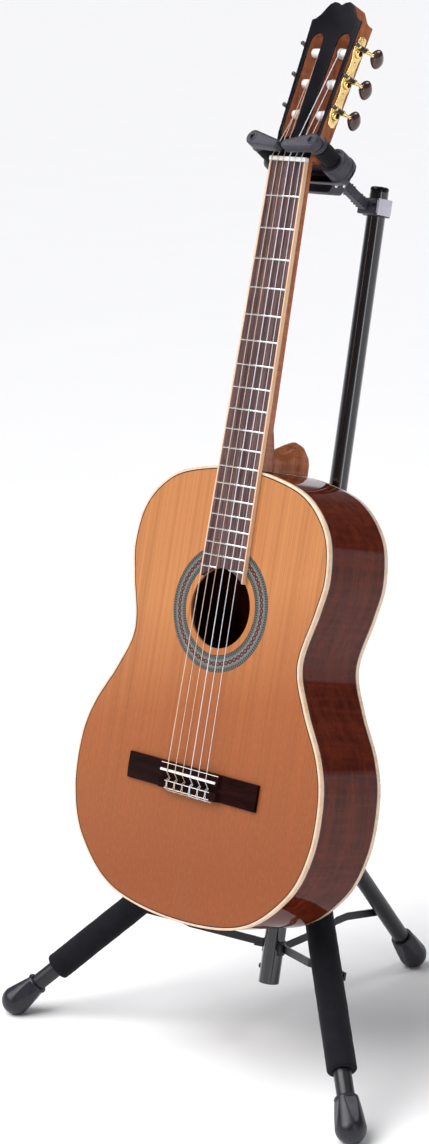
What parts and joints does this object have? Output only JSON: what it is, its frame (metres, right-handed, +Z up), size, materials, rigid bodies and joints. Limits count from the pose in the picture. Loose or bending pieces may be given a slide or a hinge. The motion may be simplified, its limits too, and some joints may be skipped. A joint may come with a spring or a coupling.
{
  "type": "guitar on stand",
  "caption": "Slotted-head classical guitar hanging by its head in a folding tripod stand, its back resting on two foam-sleeved legs.",
  "frame": {"origin": "on the floor, under the middle of the whole object", "axes": "-Y towards the front of the guitar, +X towards its treble strings, +Z up"},
  "size_m": [0.541, 0.4316, 1.1205],
  "materials": {
    "cedar": "satin lacquer over an orange tan softwood",
    "mahogany": "gloss lacquer over dark red brown wood",
    "cream_binding": "gloss",
    "rosewood": "oiled",
    "black_lacquer": "high gloss",
    "bone": "satin white",
    "inlay": "satin lacquer",
    "gold": "polished, engraved",
    "dark_button": "gloss dark brown",
    "wound_string": "bronze winding",
    "nylon_string": "clear nylon",
    "spruce": "bare",
    "gloss_tube": "gloss black",
    "satin_tube": "satin black",
    "foam": "matt closed-cell foam",
    "boot_rubber": "satin",
    "yoke_plastic": "fine grain",
    "button_silver": "satin"
  },
  "bodies": {
    "hub": {"leg_hub": "yoke_plastic"},
    "stem": {"lower_tube": "gloss_tube", "brace_bracket": "satin_tube"},
    "hub_knob": {"hub_knob": "yoke_plastic"},
    "height_clutch": {"height_clutch": "yoke_plastic"},
    "leg_left": {"leg_left": "satin_tube", "foam_left": "foam", "boot_left": "boot_rubber"},
    "leg_right": {"leg_right": "satin_tube", "foam_right": "foam", "boot_right": "boot_rubber"},
    "leg_rear": {"leg_rear": "satin_tube", "boot_rear": "boot_rubber"},
    "brace_left": {"brace_left": "satin_tube"},
    "brace_right": {"brace_right": "satin_tube"},
    "brace_rear": {"brace_rear": "satin_tube"},
    "mast": {"upper_tube": "gloss_tube", "tube_cap": "yoke_plastic", "clamp_block": "yoke_plastic", "yoke_shank": "yoke_plastic", "yoke_housing": "yoke_plastic", "yoke_cover": "yoke_plastic"},
    "release_button": {"release_button": "button_silver"},
    "gate_left": {"arm_left": "foam", "gate_left": "yoke_plastic"},
    "gate_right": {"arm_right": "foam", "gate_right": "yoke_plastic"},
    "guitar": {"soundboard": "cedar", "rosette": "inlay", "front_binding": "cream_binding", "sides": "mahogany", "back_binding": "cream_binding", "back_plate": "mahogany", "neck_block": "spruce", "neck": "mahogany", "headstock_veneer": "black_lacquer", "fingerboard": "rosewood", "nut": "bone", "bridge": "rosewood", "saddle": "bone", "tuner_plate_left": "gold", "tuner_plate_right": "gold", "string_1": "wound_string", "string_2": "wound_string", "string_3": "wound_string", "string_4": "nylon_string", "string_5": "nylon_string", "string_6": "nylon_string"},
    "tuner_left_1": {"tuner_left_1": "dark_button"},
    "roller_left_1": {"roller_left_1": "bone"},
    "tuner_left_2": {"tuner_left_2": "dark_button"},
    "roller_left_2": {"roller_left_2": "bone"},
    "tuner_left_3": {"tuner_left_3": "dark_button"},
    "roller_left_3": {"roller_left_3": "bone"},
    "tuner_right_1": {"tuner_right_1": "dark_button"},
    "roller_right_1": {"roller_right_1": "bone"},
    "tuner_right_2": {"tuner_right_2": "dark_button"},
    "roller_right_2": {"roller_right_2": "bone"},
    "tuner_right_3": {"tuner_right_3": "dark_button"},
    "roller_right_3": {"roller_right_3": "bone"}
  },
  "joints": [
    {"name": "fold_slide", "type": "slide", "parent": "hub", "child": "stem", "axis": [0, -0.2331, -0.9725], "range_m": [0, 0.19]},
    {"name": "leg_left_hinge", "type": "hinge", "parent": "hub", "child": "leg_left", "pos_m": [-0.02639, -0.0146, 0.25811], "axis": [0.4756, -0.8554, 0.2051], "range_deg": [0, 34.9]},
    {"name": "brace_left_hinge", "type": "hinge", "parent": "stem", "child": "brace_left", "pos_m": [-0.01583, -0.04623, 0.10167], "axis": [-0.4756, 0.8554, -0.2051], "range_deg": [0, 71.1]},
    {"name": "leg_right_hinge", "type": "hinge", "parent": "hub", "child": "leg_right", "pos_m": [0.02639, -0.0146, 0.25811], "axis": [0.4756, 0.8554, -0.2051], "range_deg": [0, 34.9]},
    {"name": "brace_right_hinge", "type": "hinge", "parent": "stem", "child": "brace_right", "pos_m": [0.01583, -0.04623, 0.10167], "axis": [-0.4756, -0.8554, 0.2051], "range_deg": [0, 71.1]},
    {"name": "leg_rear_hinge", "type": "hinge", "parent": "hub", "child": "leg_rear", "pos_m": [0, 0.02845, 0.24779], "axis": [-1, 0, 0], "range_deg": [0, 37.1]},
    {"name": "brace_rear_hinge", "type": "hinge", "parent": "stem", "child": "brace_rear", "pos_m": [0, -0.02192, 0.08916], "axis": [1, 0, 0], "range_deg": [0, 58.7]},
    {"name": "hub_knob_turn", "type": "hinge", "parent": "hub", "child": "hub_knob", "pos_m": [0, -0.00073, 0.25478], "axis": [0.8572, 0.5008, -0.1201], "continuous": true},
    {"name": "height_clutch_turn", "type": "hinge", "parent": "stem", "child": "height_clutch", "pos_m": [0, 0.06641, 0.53485], "axis": [0, 0.2331, 0.9725], "range_deg": [0, 90]},
    {"name": "height_slide", "type": "slide", "parent": "hub", "child": "mast", "axis": [0, 0.2331, 0.9725], "range_m": [0, 0.28]},
    {"name": "release_button_press", "type": "slide", "parent": "mast", "child": "release_button", "axis": [-1, 0, 0], "range_m": [0, 0.002], "stiffness_N_per_m": 900, "springref_m": -0.001},
    {"name": "gate_right_swing", "type": "hinge", "parent": "mast", "child": "gate_right", "pos_m": [0.0411, 0.00754, 0.98379], "axis": [0, 0.788, -0.6157], "range_deg": [0, 90]},
    {"name": "gate_left_swing", "type": "hinge", "parent": "mast", "child": "gate_left", "pos_m": [-0.0411, 0.00754, 0.98379], "axis": [0, -0.788, 0.6157], "range_deg": [0, 90]},
    {"name": "guitar_lift", "type": "slide", "parent": "mast", "child": "guitar", "axis": [0, 0.258, 0.9662], "range_m": [0, 0.06]},
    {"name": "tuner_left_1_turn", "type": "hinge", "parent": "guitar", "child": "tuner_left_1", "pos_m": [-0.03504, 0.05432, 1.01157], "axis": [0, -0.8742, 0.4856], "continuous": true},
    {"name": "roller_left_1_turn", "type": "hinge", "parent": "guitar", "child": "roller_left_1", "pos_m": [0, 0.05092, 1.00545], "axis": [1, 0, 0], "continuous": true},
    {"name": "tuner_left_2_turn", "type": "hinge", "parent": "guitar", "child": "tuner_left_2", "pos_m": [-0.03662, 0.07156, 1.04261], "axis": [0, -0.8742, 0.4856], "continuous": true},
    {"name": "roller_left_2_turn", "type": "hinge", "parent": "guitar", "child": "roller_left_2", "pos_m": [0, 0.06816, 1.03649], "axis": [1, 0, 0], "continuous": true},
    {"name": "tuner_left_3_turn", "type": "hinge", "parent": "guitar", "child": "tuner_left_3", "pos_m": [-0.03821, 0.0888, 1.07364], "axis": [0, -0.8742, 0.4856], "continuous": true},
    {"name": "roller_left_3_turn", "type": "hinge", "parent": "guitar", "child": "roller_left_3", "pos_m": [0, 0.0854, 1.06752], "axis": [1, 0, 0], "continuous": true},
    {"name": "tuner_right_1_turn", "type": "hinge", "parent": "guitar", "child": "tuner_right_1", "pos_m": [0.03504, 0.05432, 1.01157], "axis": [0, -0.8742, 0.4856], "continuous": true},
    {"name": "roller_right_1_turn", "type": "hinge", "parent": "guitar", "child": "roller_right_1", "pos_m": [0, 0.05092, 1.00545], "axis": [1, 0, 0], "continuous": true},
    {"name": "tuner_right_2_turn", "type": "hinge", "parent": "guitar", "child": "tuner_right_2", "pos_m": [0.03662, 0.07156, 1.04261], "axis": [0, -0.8742, 0.4856], "continuous": true},
    {"name": "roller_right_2_turn", "type": "hinge", "parent": "guitar", "child": "roller_right_2", "pos_m": [0, 0.06816, 1.03649], "axis": [1, 0, 0], "continuous": true},
    {"name": "tuner_right_3_turn", "type": "hinge", "parent": "guitar", "child": "tuner_right_3", "pos_m": [0.03821, 0.0888, 1.07364], "axis": [0, -0.8742, 0.4856], "continuous": true},
    {"name": "roller_right_3_turn", "type": "hinge", "parent": "guitar", "child": "roller_right_3", "pos_m": [0, 0.0854, 1.06752], "axis": [1, 0, 0], "continuous": true}
  ],
  "couplings": [
    {"joint": "leg_left_hinge", "follows": "fold_slide", "rad_per_m": 3.2},
    {"joint": "brace_left_hinge", "follows": "fold_slide", "rad_per_m": 6.52},
    {"joint": "leg_right_hinge", "follows": "fold_slide", "rad_per_m": 3.2},
    {"joint": "brace_right_hinge", "follows": "fold_slide", "rad_per_m": 6.52},
    {"joint": "leg_rear_hinge", "follows": "fold_slide", "rad_per_m": 3.4},
    {"joint": "brace_rear_hinge", "follows": "fold_slide", "rad_per_m": 5.38},
    {"joint": "gate_left_swing", "follows": "gate_right_swing", "ratio": 1},
    {"joint": "roller_left_1_turn", "follows": "tuner_left_1_turn", "ratio": -0.071429},
    {"joint": "roller_left_2_turn", "follows": "tuner_left_2_turn", "ratio": -0.071429},
    {"joint": "roller_left_3_turn", "follows": "tuner_left_3_turn", "ratio": -0.071429},
    {"joint": "roller_right_1_turn", "follows": "tuner_right_1_turn", "ratio": 0.071429},
    {"joint": "roller_right_2_turn", "follows": "tuner_right_2_turn", "ratio": 0.071429},
    {"joint": "roller_right_3_turn", "follows": "tuner_right_3_turn", "ratio": 0.071429}
  ]
}
